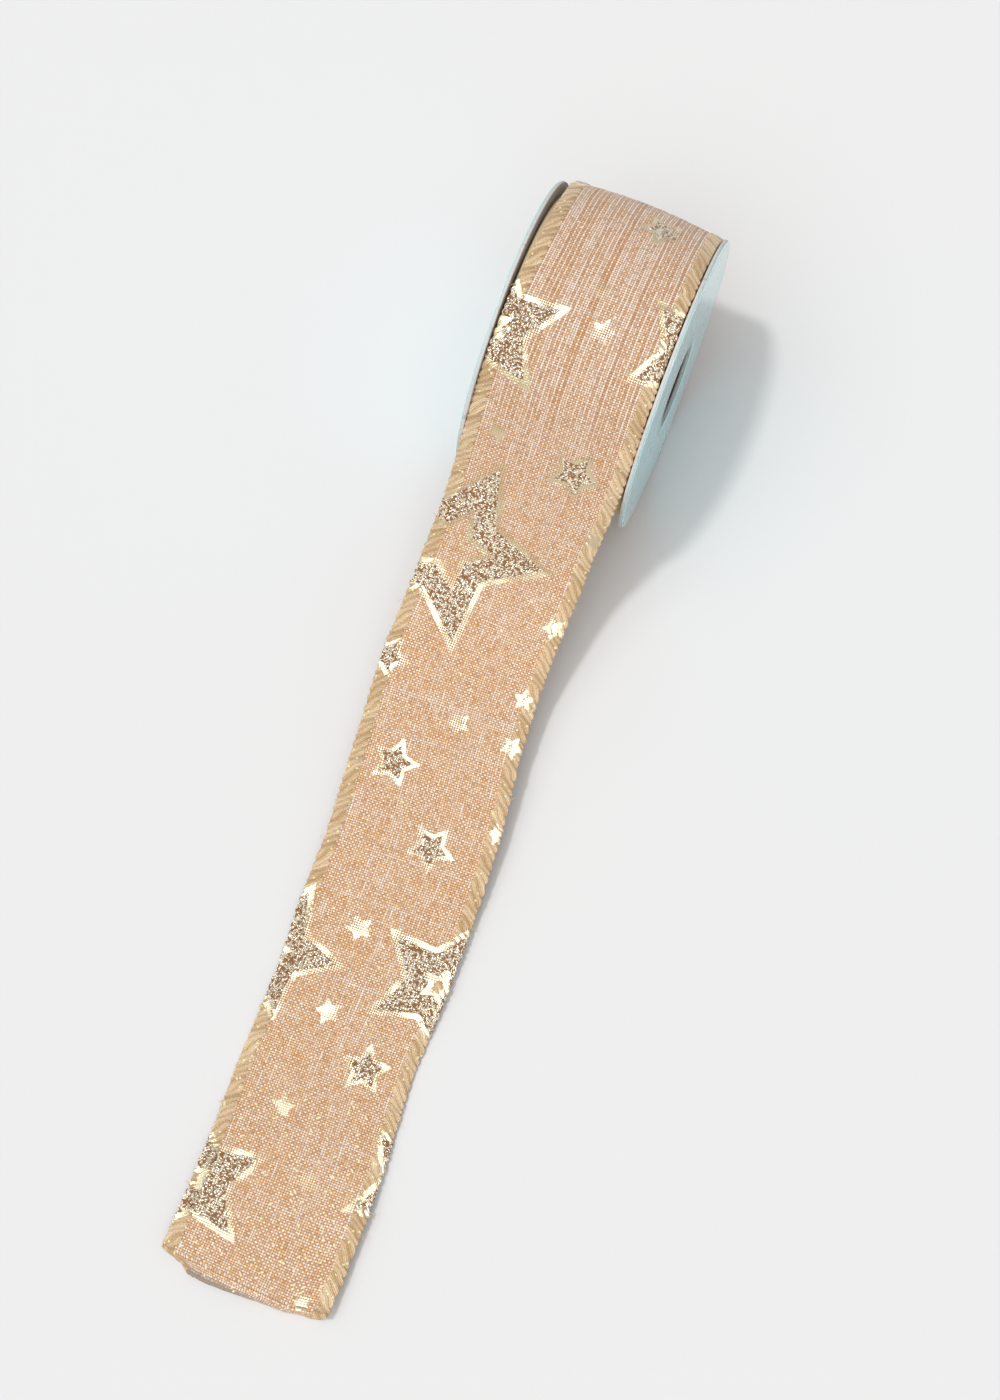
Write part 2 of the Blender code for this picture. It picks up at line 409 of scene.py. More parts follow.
def thread_colour(n, u, s, column, row, odd, round_u, round_s):
    """Each thread and each crossing has a tone of its own, with slubs along it."""
    alternate = n.math("FLOORED_MODULO", column, 2.0)
    second = n.times(alternate, n.step(n.noise(n.join(u, s), 0.16, 2.0), 0.38, 0.62, 0.25, 1.0))
    own_column = n.chance(n.times(column, 1.37))
    own_row = n.chance(n.scaled(row, 2.11, 40.0))
    own_cell = n.scaled(n.chance(n.scaled(column, 17.31, n.times(row, 7.193))), 0.8, -0.40)
    slub = n.noise(n.join(n.times(column, 7.3), n.times(s, 0.12)), 1.0, 2.0)
    slub_across = n.noise(n.join(n.times(u, 0.09), n.times(row, 5.1)), 1.0, 2.0)
    patch = n.noise(n.join(n.times(u, 0.15), n.times(s, 0.06)), 1.0, 2.0)
    warp_tone = n.plus(n.times(slub, 0.9), n.times(own_column, 0.45))
    warp_tone = n.plus(n.plus(warp_tone, n.scaled(patch, 0.35, -0.38)), own_cell)
    warp = n.mix(n.step(warp_tone, 0.25, 0.85), ORANGE, PEACH)
    warp = n.mix(n.step(warp_tone, 0.85, 1.15), warp, CREAM)
    weft_tone = n.plus(n.times(slub_across, 0.9), n.times(own_row, 0.45))
    weft_tone = n.plus(weft_tone, n.scaled(patch, 0.35, -0.32))
    weft_tone = n.minus(n.minus(weft_tone, n.times(second, 0.34)), own_cell)
    weft = n.mix(n.step(weft_tone, -0.30, 0.15), PEACH, CREAM)
    colour = n.mix(odd, warp, weft)
    # here and there a pale thread lies over its neighbours for the whole width or a long way along
    white_row = n.times(n.step(own_row, 0.93, 0.95), n.times(round_s, 0.7))
    behind = n.step(s, 5.0, -25.0, 0.0, 0.16)
    long_slub = n.plus(n.plus(slub, own_column), behind)
    white_column = n.times(n.step(long_slub, 1.34, 1.44), n.times(round_u, 0.55))
    colour = n.mix(n.math("MAXIMUM", white_row, white_column), colour, CREAM)
    dark_column = n.step(n.minus(own_column, slub), 0.25, 0.36)
    colour = n.mix(n.times(dark_column, n.scaled(odd, -0.25, 0.45)), colour, ORANGE)
    colour = n.mix(n.times(second, 0.22), colour, ORANGE)
    # round the roll the lengthwise threads lie tight, and read as fine pale and dark lines
    tight = n.step(s, 30.0, -15.0)
    pale_line = n.times(n.minus(1.0, alternate), n.scaled(own_column, 0.7, 0.05))
    dark_line = n.times(alternate, n.scaled(own_column, -0.6, 0.60))
    colour = n.mix(n.times(tight, pale_line), colour, CREAM)
    return n.mix(n.times(tight, dark_line), colour, SHADE)


def cloth_material():
    """Slubby orange and peach threads along, cream ones across, with the print on top."""
    n = Nodes("woven_cloth")
    u, s = n.ribbon_uv()
    column, row, odd, round_u, round_s, top = weave(n, u, s)
    colour = thread_colour(n, u, s, column, row, odd, round_u, round_s)
    fibres = n.noise(n.join(n.times(u, 6.0), n.times(s, 6.0)), 1.0, 2.0)
    own_gap = n.chance(n.scaled(column, 9.77, n.times(row, 23.3)))
    colour = n.mix(n.times(n.step(own_gap, 0.78, 0.82), 0.42), colour, SHADE)
    # painted shade: where the threads dip between their crossings, the colour is darkened towards SHADE
    colour = n.mix(n.step(top, 0.68, 0.15), colour, SHADE)
    colour = n.mix(n.times(fibres, 0.15), colour, SHADE)
    # painted shade: the cloth under the end's fold is darkened
    colour = n.mix(n.attribute("rubbed"), colour, FOLD_UNDERSIDE_SHADE)
    height = n.plus(top, n.times(fibres, 0.3))
    return n.finish(**printed(n, u, s, colour, 0.8, height, top), Sheen_Weight=0.2, Sheen_Roughness=0.5)


def stitch_material():
    """Golden thread in slanted stitches over the ribbon's edge."""
    n = Nodes("stitched_edge")
    u, s = n.ribbon_uv()
    ridge = n.attribute("ridge")
    strands = n.math("SINE", n.times(n.attribute("wrap"), tau * STRANDS))
    fuzz = n.noise(n.join(n.times(u, 3.6), n.times(s, 2.4)), 1.0, 4.0, 0.65)
    own = n.chance(n.math("FLOOR", n.attribute("wrap")))
    # the colour follows each stitch's ridge: a painted highlight on its crown and painted shade in the dip
    # between stitches, mixed with the thread's own random tone
    tone = n.plus(n.times(ridge, 0.5), n.scaled(strands, 0.12, -0.05))
    tone = n.plus(tone, n.scaled(own, 0.40, -0.02))
    tone = n.plus(tone, n.scaled(fuzz, 1.5, -0.75))
    colour = n.mix(n.step(tone, 0.05, 1.0), STITCH_DARK, STITCH_LIGHT)
    height = n.plus(n.times(strands, 0.4), n.times(fuzz, 0.8))
    finish = printed(n, u, s, colour, 0.78, height, n.plus(ridge, 0.1))
    return n.finish(**finish, Sheen_Weight=0.3, Sheen_Roughness=0.45)


def thread_material():
    n = Nodes("loose_thread")
    spot = n.add("TexCoord").outputs["Object"]
    tone = n.noise(spot, 900.0, 2.0)
    return n.finish(Base_Color=n.mix(tone, STITCH_DARK, STITCH_LIGHT), Roughness=0.8, Sheen_Weight=0.3)


def facing_material():
    """Glossy mint paper with faint scuffed streaks."""
    n = Nodes("mint_facing")
    spot = n.add("TexCoord").outputs["Object"]
    cloud = n.noise(spot, 45.0, 3.0)
    grain = n.noise(spot, 2600.0, 2.0)
    streaks = n.add("TexNoise", {}, Scale=60.0, Detail=4.0)
    turned = n.add("Mapping", {}, Vector=spot)
    turned.inputs["Rotation"].default_value = (radians(35), 0, 0)
    turned.inputs["Scale"].default_value = (1, 4.0, 0.35)
    n.put(streaks.inputs["Vector"], turned.outputs[0])
    rub = n.step(streaks.outputs["Fac"], 0.52, 0.66)
    colour = n.mix(cloud, (0.42, 0.82, 0.87), (0.51, 0.87, 0.91))
    colour = n.mix(n.times(rub, 0.35), colour, (0.60, 0.78, 0.81))
    rough = n.scaled(rub, 0.06, n.scaled(grain, 0.04, 0.14))
    return n.finish(
        Base_Color=colour, Roughness=rough, Coat_Weight=0.5, Coat_Roughness=0.08,
        Normal=n.bump(cloud, 0.05, 0.0002),
    )


def board_material():
    """Grey-white board: faint fibres and flecks, a little darker where it has been handled."""
    n = Nodes("grey_board")
    spot = n.add("TexCoord").outputs["Object"]
    fibre = n.noise(spot, 1400.0, 4.0, 0.65)
    cloud = n.noise(spot, 90.0, 3.0)
    fleck = n.step(n.noise(spot, 700.0, 1.0), 0.66, 0.72)
    tone = n.scaled(cloud, 0.5, n.times(fibre, 0.5))
    colour = n.mix(tone, (0.52, 0.50, 0.47), (0.78, 0.77, 0.75))
    colour = n.mix(n.times(fleck, 0.5), colour, (0.36, 0.32, 0.27))
    return n.finish(Base_Color=colour, Roughness=0.86, Normal=n.bump(fibre, 0.5, 0.00008))


def core_material():
    """Brown card, painted nearly black so that the inside of the bore reads as dark: painted shade."""
    n = Nodes("core_card")
    spot = n.add("TexCoord").outputs["Object"]
    fibre = n.noise(spot, 1100.0, 4.0, 0.6)
    cloud = n.noise(spot, 120.0, 2.0)
    tone = n.scaled(cloud, 0.5, n.times(fibre, 0.5))
    # painted shade: the card's colour is kept nearly black, standing in for the shade inside the bore
    colour = n.mix(tone, (0.02, 0.015, 0.011), (0.06, 0.043, 0.030))
    return n.finish(Base_Color=colour, Roughness=0.9, Normal=n.bump(fibre, 0.5, 0.0001))


def wire_material():
    n = Nodes("edge_wire")
    spot = n.add("TexCoord").outputs["Object"]
    scratch = n.noise(spot, 1500.0, 3.0)
    colour = n.mix(scratch, (0.60, 0.56, 0.48), (0.78, 0.74, 0.66))
    rough = n.scaled(scratch, 0.2, 0.25)
    return n.finish(Base_Color=colour, Metallic=1.0, Roughness=rough)


def glue_material():
    n = Nodes("dried_glue")
    spot = n.add("TexCoord").outputs["Object"]
    lump = n.noise(spot, 600.0, 3.0)
    return n.finish(
        Base_Color=n.mix(lump, (0.52, 0.42, 0.25), (0.78, 0.70, 0.50)), Roughness=0.35,
        Normal=n.bump(lump, 0.6, 0.0002), Coat_Weight=0.2,
    )


def tape_material():
    n = Nodes("start_tape")
    spot = n.add("TexCoord").outputs["Object"]
    ripple = n.noise(spot, 300.0, 2.0)
    return n.finish(
        Base_Color=n.mix(ripple, (0.60, 0.50, 0.28), (0.74, 0.66, 0.42)), Roughness=0.2,
        Normal=n.bump(ripple, 0.3, 0.0001), Coat_Weight=0.5,
    )


def floor_material():
    n = Nodes("floor")
    spot = n.add("TexCoord").outputs["Object"]
    tone = n.noise(spot, 3.0, 2.0)
    colour = n.mix(tone, (0.772, 0.772, 0.772), (0.780, 0.780, 0.780))
    return n.finish(Base_Color=colour, Roughness=0.9, Specular_IOR_Level=0.1)


# ---------------------------------------------------------------- the ribbon's line


def bezier(a, b, c, d, count):
    t = np.linspace(0, 1, count)[:, None]
    return a * (1 - t) ** 3 + 3 * b * t * (1 - t) ** 2 + 3 * c * t * t * (1 - t) + d * t**3


def unit(v):
    return v / np.linalg.norm(v, axis=-1, keepdims=True)


def ribbon_line():
    """Close points along the whole ribbon's middle, their s, and the s of the fold at the free end."""
    angle = np.linspace(TURN_START, TURN_END, 700)
    share = (angle - TURN_START) / (TURN_END - TURN_START)
    radius = TURN_R + TURN_SLACK * np.sin(pi * share)
    turn = np.stack([0 * angle, -radius * np.sin(angle), radius * np.cos(angle)], 1) + AXIS
    corners = [turn[-1]]
    corners += [np.array([AXIS[0] + side, AXIS[1] - out, up]) for out, up, side in TAIL_POINTS]
    directions = [unit(turn[-1] - turn[-2])]
    directions += [unit(unit(b - a) + unit(c - b)) for a, b, c in zip(corners, corners[1:], corners[2:])]
    directions.append(unit(corners[-1] - corners[-2]))
    tail = []
    for a, b, da, db in zip(corners, corners[1:], directions, directions[1:]):
        reach = np.linalg.norm(b - a) / 3
        tail.append(bezier(a, a + da * reach, b - db * reach, b, 200)[1:])
    tail = np.concatenate(tail)
    bend = np.linspace(0, pi, 60)[1:]
    round_fold = [HEM_SHIFT * bend / pi, -HEM_R * np.sin(bend), HEM_R * (np.cos(bend) - 1)]
    fold = tail[-1] + np.stack(round_fold, 1)
    flap = fold[-1] + np.outer(np.linspace(0, HEM_LENGTH, 80)[1:], [0, 1, 0])
    line = np.concatenate([turn, tail, fold, flap])
    s = np.concatenate([[0], np.cumsum(np.linalg.norm(np.diff(line, axis=0), axis=1))])
    s -= s[len(turn) - 1]
    return line, s, s[len(turn) + len(tail) - 1]


LINE, LINE_S, S_FOLD = ribbon_line()
S_START = LINE_S[0]
S_END = LINE_S[-1]


def on_line(s):
    return np.stack([np.interp(s, LINE_S, LINE[:, k]) for k in range(3)], -1)


def s_at(distance):
    """The s of the free end's point this far in front of the axis."""
    tail = (LINE_S >= 0) & (LINE_S <= S_FOLD)
    return float(np.interp(distance, AXIS[1] - LINE[tail, 1], LINE_S[tail]))


def ease(x, low, high):
    t = np.clip((x - low) / (high - low), 0, 1)
    return t * t * (3 - 2 * t)


def fraction(x):
    return x - np.floor(x)


def wave(x, *parts):
    """A sum of sines: each part is (size, length of the wave, phase)."""
    return sum(size * np.sin(tau * x / length + phase) for size, length, phase in parts)


def frames(s):
    """(middle, direction across, outward normal) of the ribbon at s."""
    step = 0.0003
    middle = on_line(s)
    ahead = unit(on_line(s + step) - on_line(s - step))
    wide = np.minimum(s, S_FOLD - YAW_REACH)
    drift = on_line(wide + YAW_REACH)[..., 0] - on_line(wide - YAW_REACH)[..., 0]
    yaw = drift / (2 * YAW_REACH) * ease(s, 0.03, 0.07)
    across = np.stack([np.cos(yaw), np.sin(yaw), 0 * yaw], -1)
    return middle, across, unit(np.cross(across, -ahead))


def smooth_through(x, places, values):
    """A smooth line through a few points."""
    k = np.clip(np.searchsorted(places, x, side="right") - 1, 0, len(places) - 2)
    slope = np.gradient(values, places)
    wide = places[k + 1] - places[k]
    t = np.clip((x - places[k]) / wide, 0, 1)
    a, b = values[k], values[k + 1]
    return (
        a * (1 + 2 * t) * (1 - t) ** 2 + slope[k] * wide * t * (1 - t) ** 2
        + b * t * t * (3 - 2 * t) + slope[k + 1] * wide * t * t * (t - 1)
    )


EDGE_S, LEFT_EDGE, RIGHT_EDGE = np.array(EDGES, float).T


def rise(s, share):
    """How far the ribbon stands off its line. share is -1 at its left edge and 1 at its right one."""
    loose = ease(s, 0.004, 0.05) * (1 - ease(s, S_FOLD - 0.02, S_FOLD - 0.002))
    wavy = wave(s, (0.00035, 0.047, 0.4), (0.00025, 0.029, 2.0)) * np.clip(share, 0, 1) ** 2
    wavy = wavy + wave(s, (0.00035, 0.052, 1.7), (0.0002, 0.031, 0.2)) * np.clip(-share, 0, 1) ** 2
    swell = 0.00025 * (1 - share**2) * wave(s, (1, 0.038, 1.0))
    # at the back of the roll the turn stands off in a low arch, highest left of the middle
    arch = ARCH_HEIGHT * np.exp(-(((s - ARCH_S) / ARCH_SPREAD) ** 2))
    arch = arch * np.clip(1 - ((share + 0.22) / 1.22) ** 2, 0, 1)
    return loose * (wavy + swell) + arch


def fold_shift(s, u, height):
    """(sideways, backwards): how far the turned end moves points. height is their middle line's."""
    # the ribbon's end is folded on a slant, with its right corner drawn back
    end = ease(s, S_FOLD - 0.020, S_FOLD - 0.001)
    slant = np.where(u < 0.011, 0.0006 - 0.0025 * (u + 0.020) / 0.031, -0.0019 + 0.13 * (u - 0.011))
    back = end * slant
    # the fold stands steep, its foot a little in front of its top at the left
    down = np.clip((on_line(np.array(S_FOLD))[2] - height) / (2 * HEM_R), 0, 1) * (s > S_FOLD)
    belly = np.sqrt(4 * down * (1 - down))
    leftward = (1 - ease(u, -0.010, 0.014)) * ease(u, -0.0190, -0.0150)
    back = back - HEM_R * (np.sqrt(belly) - belly) - FOLD_LEAN * ease(down, 0.05, 0.7) * leftward
    # underneath, both sides are drawn in
    tuck = ease(s, S_FOLD + 0.0002, S_FOLD + 0.0020)
    drawn_in = LEFT_TUCK * ease(-u, 0.006, 0.0190) - RIGHT_TUCK * ease(u, 0.010, 0.0195)
    return tuck * drawn_in - FOLD_SIDE * ease(down, 0, 1), back


def place(s, u, lift):
    """Points of the ribbon, with the slow waves that its wires hold it in. All three are in metres."""
    s, u, lift = np.broadcast_arrays(s, u, lift)
    middle, across, out = frames(s)
    left = smooth_through(s / MM, EDGE_S, LEFT_EDGE) * MM
    right = smooth_through(s / MM, EDGE_S, RIGHT_EDGE) * MM
    share = u / (HALF_WIDTH * MM)
    wide = np.where(share < 0, -share * left, share * right)
    wide = (left + right) / 2 * (1 - np.abs(share)) + wide
    points = middle + across * wide[..., None] + out * (lift + rise(s, share))[..., None]
    sideways, back = fold_shift(s, u, middle[..., 2])
    points[..., 0] += sideways
    points[..., 1] += back
    return points


# ---------------------------------------------------------------- the print

STARS = (  # (s, u, radius, angle of a tip from +u towards +s in degrees, inner star's share or kind); mm
    (-14.0, -21.0, 18.5, 42, 0.27),
    (-21.7, 26.1, 17.6, 145, 0.27),
    (43.4, -14.2, 26.8, -5, 0.44),
    (147.3, -22.3, 18.2, -3, 0.27),
    (143.5, 17.3, 18.2, 140, 0.27),
    (189.7, 28.6, 18.0, 147, 0.27),
    (203.6, -19.8, 18.2, 36, 0.27),
    (-77, -20, 18.5, 10, 0.27),
    (-101, 24, 18.5, 170, 0.27),
    (-133, -16, 20.0, 25, 0.44),
    (-51.8, 6.5, 6.4, 20, "filled"),
    (14.4, 8.2, 7.5, 3, "filled"),
    (73.2, -18.2, 5.8, 2, "filled"),
    (96.6, -9.2, 6.6, -10, "filled"),
    (113.5, 4.8, 6.5, 9, "filled"),
    (167.2, 8.6, 6.6, 48, "filled"),
    (-66, -9, 6.2, 40, "filled"),
    (-114, -7, 6.4, 5, "filled"),
    (234, 6, 6.2, 33, "filled"),
    (-29.5, -0.8, 3.0, 25, "solid"),
    (-20.6, 3.5, 3.4, 60, "solid"),
    (10.7, -11.8, 2.8, 10, "solid"),
    (29.4, 17.6, 3.2, 40, "solid"),
    (53.5, 17.2, 3.4, 20, "solid"),
    (72.7, 16.6, 3.0, 50, "solid"),
    (84.7, 17.2, 3.3, 5, "solid"),
    (105.6, 19.0, 3.0, 30, "solid"),
    (83.1, 3.2, 3.3, 20, "solid"),
    (136.6, -4.6, 3.6, 20, "solid"),
    (157.4, -4.6, 3.6, 30, "solid"),
    (181.7, -6.6, 3.3, 50, "solid"),
    (196.0, 4.4, 3.3, 15, "solid"),
    (219.6, 13.5, 2.4, 35, "solid"),
    (-85, 5, 3.4, 30, "solid"),
    (-94, -3, 3.3, 50, "solid"),
    (-125, 9, 3.4, 10, "solid"),
)


def star_depth(s, u, radius, angle):
    """How far inside a five-pointed star a point lies, negative outside. Its middle is at 0, 0."""
    x = u * cos(angle + pi / 2) + s * sin(angle + pi / 2)
    y = u * cos(angle) + s * sin(angle)
    x = np.abs(x)
    for turn in (1, -1):
        kx, ky = turn * cos(radians(36)), -sin(radians(36))
        past = np.maximum(kx * x + ky * y, 0)
        x, y = x - 2 * past * kx, y - 2 * past * ky
    x, y = np.abs(x), y - radius
    edge = np.array([STAR_WAIST * sin(radians(36)), STAR_WAIST * cos(radians(36)) - 1]) * radius
    share = np.clip((x * edge[0] + y * edge[1]) / (edge @ edge), 0, 1)
    far = np.hypot(x - edge[0] * share, y - edge[1] * share)
    return -far * np.sign(y * edge[0] - x * edge[1])


def print_at(s, u):
    """(foil, glitter): how far inside each a point lies, negative outside. All are in mm."""
    foil = np.full(s.shape, -3.0)
    glitter = np.full(s.shape, -3.0)
    for star_s, star_u, radius, angle, kind in STARS:
        near = np.hypot(s - star_s, u - star_u) < radius + 3
        local = s[near] - star_s, u[near] - star_u
        depth = star_depth(*local, radius, radians(angle))
        if kind == "solid":
            foil[near] = np.maximum(foil[near], depth)
            continue
        width = FOIL_LINE * (0.72 if kind == "filled" else 1)
        line = np.minimum(depth, width - depth)
        fill = depth - width
        if kind != "filled":
            inner = star_depth(*local, radius * kind, radians(angle))
            line = np.maximum(line, np.minimum(inner, width - inner))
            fill = np.minimum(fill, -inner)
        foil[near] = np.maximum(foil[near], line)
        glitter[near] = np.maximum(glitter[near], fill)
    return foil, glitter


# ---------------------------------------------------------------- meshes


def grid_mesh(name, points, material, closed_round=False):
    """A mesh over a grid of points, (rows, columns, 3). closed_round joins the last column to the first."""
    rows, columns = points.shape[:2]
    index = np.arange(rows * columns).reshape(rows, columns)
    if closed_round:
        index = np.concatenate([index, index[:, :1]], 1)
    a, b, c, d = index[:-1, :-1], index[:-1, 1:], index[1:, 1:], index[1:, :-1]
    faces = np.stack([a, b, c, d], -1).reshape(-1, 4)
    mesh = bpy.data.meshes.new(name)
    mesh.vertices.add(rows * columns)
    mesh.vertices.foreach_set("co", points.reshape(-1).astype(np.float32))
    mesh.loops.add(faces.size)
    mesh.loops.foreach_set("vertex_index", faces.reshape(-1).astype(np.int32))
    mesh.polygons.add(len(faces))
    mesh.polygons.foreach_set("loop_start", np.arange(0, faces.size, 4, dtype=np.int32))
    mesh.update(calc_edges=True)
    mesh.validate()
    mesh.shade_smooth()
    mesh.materials.append(material)
    obj = bpy.data.objects.new(name, mesh)
    bpy.context.scene.collection.objects.link(obj)
    return obj


def give(obj, name, values):
    """Stores one number for each vertex."""
    attribute = obj.data.attributes.new(name, "FLOAT", "POINT")
    attribute.data.foreach_set("value", np.asarray(values, np.float32).reshape(-1))


def give_uv(obj, u, s):
    """The ribbon's own coordinates in mm as a UV map."""
    corner = np.empty(len(obj.data.loops), np.int32)
    obj.data.loops.foreach_get("vertex_index", corner)
    flat = np.stack([u.reshape(-1), s.reshape(-1)], 1)[corner]
    layer = obj.data.uv_layers.new(name="ribbon")
    layer.data.foreach_set("uv", flat.reshape(-1).astype(np.float32))


def give_print(obj, u, s, dust=0.0):
    foil, glitter = print_at(s, u)
    give(obj, "foil", foil)
    give(obj, "glitter", glitter)
    # bits of glitter that fell beside the stars, more of them towards the free end; their glint is painted
    # as bright pale dots in the base colour
    give(obj, "plain", 0.996 - dust - 0.046 * ease(s, 130, 215))


def steps(start, end, pitch):
    """Even steps from start to end, on whole multiples of the pitch between."""
    inside = np.arange(np.ceil(start / pitch + 0.3), np.floor(end / pitch - 0.3) + 1) * pitch
    return np.concatenate([[start], inside, [end]])


def relief(s, u):
    """How far the cloth swells and dips between slack and tight threads, in mm."""
    slack = wave(u + 0.13 * s, (0.03, 3.1, 0.3), (0.025, 5.3, 1.9))
    slack = slack + wave(s, (0.03, 4.3, 0.5), (0.02, 2.7, 2.2))
    return slack + 0.02 * np.sin(u * 2.3 + 1.7 * np.sin(s * 0.21)) * np.sin(s * 1.1 + np.sin(u * 0.4))


def thicken(obj, thickness):
    solid = obj.modifiers.new("Thickness", "SOLIDIFY")
    solid.thickness = thickness * MM
    solid.offset = -1
    solid.use_rim = True


def make_cloth(name, start, end, material):
    """The cloth between two places along the ribbon."""
    s = steps(start / MM, end / MM, CLOTH_STEP)
    u = np.linspace(-CLOTH_HALF, CLOTH_HALF, 75)
    s, u = np.meshgrid(s, u[::-1], indexing="ij")
    lift = relief(s, u) + CLOTH_T / 2
    obj = grid_mesh(name, place(s * MM, u * MM, lift * MM), material)
    give_uv(obj, u, s)
    give_print(obj, u, s)
    past = s - S_FOLD / MM
    # painted shade: darkens the cloth just past the fold, more towards its left, where the fold's foot lies
    # in shade
    give(obj, "rubbed", 0.85 * ease(past, 1.5, 2.6) * (1 - ease(past, 8, 12)) * (1 - ease(u, -4, 13)))
    thicken(obj, CLOTH_T)
    return obj


def make_edge(name, side, start, end, material):
    """The stitched edge: thread wrapped in slanted stitches over the cloth's border and its wire."""
    around = 22
    s = np.linspace(start / MM, end / MM, int((end - start) / MM / 0.25) + 1)
    turn = np.arange(around) * tau / around
    s, turn = np.meshgrid(s, turn, indexing="ij")
    out = np.cos(turn)
    top = np.sin(turn)
    slant = -STITCH_SLANT * out
    slip = wave(s, (0.22, 9.7, side), (0.25, 23.0, 1 + side), (0.10, 5.3, 2.0), (0.06, 3.1, 0.7))
    wrap = s / STITCH + slant + slip
    # every stitch is its own size: some stand proud, some are pulled in
    stitch = np.round(wrap)
    size = 0.75 + 0.5 * fraction(np.sin(stitch * 12.9898 + side) * 437.585)
    ridge = np.abs(np.cos(pi * wrap)) ** 0.7
    bite = size * (ridge - 0.45)
    lift = (0.40 + 0.24 * bite) * np.sign(top) * np.abs(top) ** 0.45
    outer = 1 + wave(s, (0.25, 13.1, 0.7 * side), (0.2, 7.7, 2 + side))
    reach = EDGE_MIDDLE + EDGE_HALF * out
    reach = reach + 0.45 * bite * outer * ease(out, 0.3, 1.0) - 1.0 * bite * ease(-out, 0.3, 1.0)
    u = side * reach
    points = place(s * MM, u * MM, lift * MM)
    if side > 0:
        points, s, u, ridge, wrap = (a[:, ::-1] for a in (points, s, u, ridge, wrap))
    obj = grid_mesh(name, points, material, closed_round=True)
    give_uv(obj, u, s)
    give_print(obj, u, s, 0.03)
    give(obj, "ridge", ridge)
    give(obj, "wrap", wrap)
    return close_ends(obj)


def close_ends(obj):
    """Caps the two open ends of a tube."""
    shape = bmesh.new()
    shape.from_mesh(obj.data)
    rim = [edge for edge in shape.edges if edge.is_boundary]
    bmesh.ops.holes_fill(shape, edges=rim, sides=0)
    bmesh.ops.recalc_face_normals(shape, faces=shape.faces)
    shape.to_mesh(obj.data)
    shape.free()
    return obj


def make_wire(name, side, start, end, material):
    """The wire inside an edge. Its ends stay a little inside the edge's."""
    sides = 8
    inset = 0.0002
    start, end = start + inset, end - inset
    s = np.linspace(start, end, int((end - start) / MM) + 1)
    turn = np.arange(sides) * tau / sides
    s, turn = np.meshgrid(s, turn, indexing="ij")
    u = side * WIRE_AT * MM + WIRE_R * MM * np.cos(turn)
    lift = WIRE_R * MM * np.sin(turn)
    return close_ends(grid_mesh(name, place(s, u, lift), material, closed_round=True))


def make_ribbon(cloth_finish, edge_finish):
    wire_finish = wire_material()
    seam = s_at((FOLD_1 + FOLD_2) / 2)
    # name, first and last s, the two bodies listed for it, and the frame's lengths it stands for
    lengths = (
        ("roll", S_START, seam, ("ribbon", "tail_middle"), ("outer_turn",)),
        ("middle", seam, S_FOLD, ("tail_middle", "tail_tip"), ("tail_middle", "tail_tip")),
        ("hem", S_FOLD, S_END, ("tail_tip", "hem"), ("hem",)),
    )
    for name, start, end, bodies, stands_for in lengths:
        cloth = make_cloth(f"ribbon_{name}_cloth", start, end, cloth_finish)
        trims = []
        for side_name, side in (("left", -1), ("right", 1)):
            edge = make_edge(f"ribbon_{name}_edge_{side_name}", side, start, end, edge_finish)
            wire = make_wire(f"ribbon_{name}_wire_{side_name}", side, start, end, wire_finish)
            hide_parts(*(f"{length}_edge_{side_name}" for length in stands_for))
            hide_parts(*(f"{length}_wire_{side_name}" for length in stands_for))
            trims += [edge, wire]
        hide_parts(*(f"{length}_cloth" for length in stands_for))
        for piece in (cloth, *trims):
            bend_across(piece, name)


def bend_across(piece, name):
    """Bakes a length of ribbon's transform into its mesh."""
    if name == "hem":
        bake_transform(piece)
        return
    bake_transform(piece)


# ---------------------------------------------------------------- the turns still on the core


def round_axis(x, radius, angle):
    """Points at a distance from the spool's axis. The angle is from the top towards the free end."""
    x, radius, angle = np.broadcast_arrays(x, radius, angle)
    return AXIS + np.stack([x, -radius * np.sin(angle), radius * np.cos(angle)], -1)


def make_wound(cloth_finish, edge_finish):
    """The wound turns: cloth on top and below, and the stack of stitched edges at each side."""
    half = WOUND_CLOTH_HALF
    u = np.concatenate([[-half], np.arange(-15.5, 16, 0.5), [half]])
    outer = WOUND_OUTER_R / MM - 0.45
    count = int(tau * outer / 0.55)
    angle = np.arange(count) * tau / count
    s = angle * outer
    grid_s, grid_u = np.meshgrid(s, u, indexing="ij")
    skin = round_axis(grid_u * MM, (outer + relief(grid_s, grid_u)) * MM, grid_s / outer)
    inner_r = np.full(len(s), WOUND_INNER_R)
    sides = [round_axis(sign * half * MM, inner_r, s / outer)[:, None] for sign in (-1, 1)]
    points = np.concatenate([sides[0], skin, sides[1]], 1)
    points = points.transpose(1, 0, 2)
    points = np.concatenate([points, points[:1]], 0)[:, ::-1]
    cloth = grid_mesh("wound_ribbon_cloth", points, cloth_finish, closed_round=True)
    grid_u = np.concatenate([[-half], u, [half], [-half]])[:, None] + 0 * s[None]
    grid_s = s[None, ::-1] + 0 * grid_u
    give_uv(cloth, grid_u, grid_s)
    give_print(cloth, grid_u, grid_s - 150)
    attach(cloth, "spool")
    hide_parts("wound_cloth")
    layers = int((WOUND_OUTER_R - WOUND_INNER_R) / (LAYER * MM))
    for side_name, side in (("left", -1), ("right", 1)):
        edge = make_wound_edge(side_name, side, layers, edge_finish)
        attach(edge, "spool")
        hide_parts(f"wound_edge_{side_name}")


